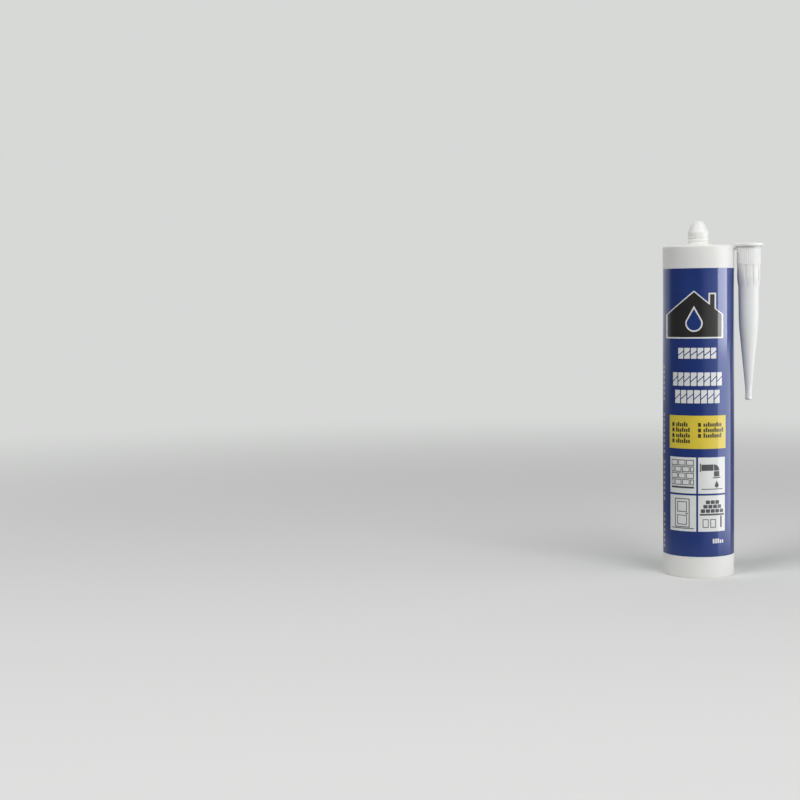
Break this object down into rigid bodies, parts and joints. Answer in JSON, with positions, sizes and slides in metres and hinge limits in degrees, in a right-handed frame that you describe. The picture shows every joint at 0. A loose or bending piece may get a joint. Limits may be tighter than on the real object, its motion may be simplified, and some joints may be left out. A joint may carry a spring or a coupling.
{
  "type": "caulk tube",
  "caption": "Round sealant cartridge with a printed film label, a closed screw outlet, a sliding piston and a tapered nozzle held at its side.",
  "frame": {"origin": "on the barrel's axis, in the plane of its rear rim, on which the tube stands", "axes": "+Z along the barrel towards the outlet, +X from the barrel's axis to the nozzle's axis, and the printed side faces -Y"},
  "size_m": [0.067, 0.0482, 0.2412],
  "materials": {
    "barrel": "white moulded polyethylene, satin gloss",
    "label": "glossy printed film, dark blue with white, yellow and black print",
    "piston": "natural moulded polyethylene",
    "sealant": "smooth white paste",
    "nozzle": "white moulded polyethylene, satin gloss"
  },
  "bodies": {
    "barrel": {"barrel": "barrel", "label": "label", "sealant": "sealant", "nozzle": "nozzle"},
    "piston": {"piston": "piston"}
  },
  "joints": [
    {"name": "piston_slide", "type": "slide", "parent": "barrel", "child": "piston", "axis": [0, 0, 1], "range_m": [0, 0.172], "deforming": ["sealant"]}
  ]
}
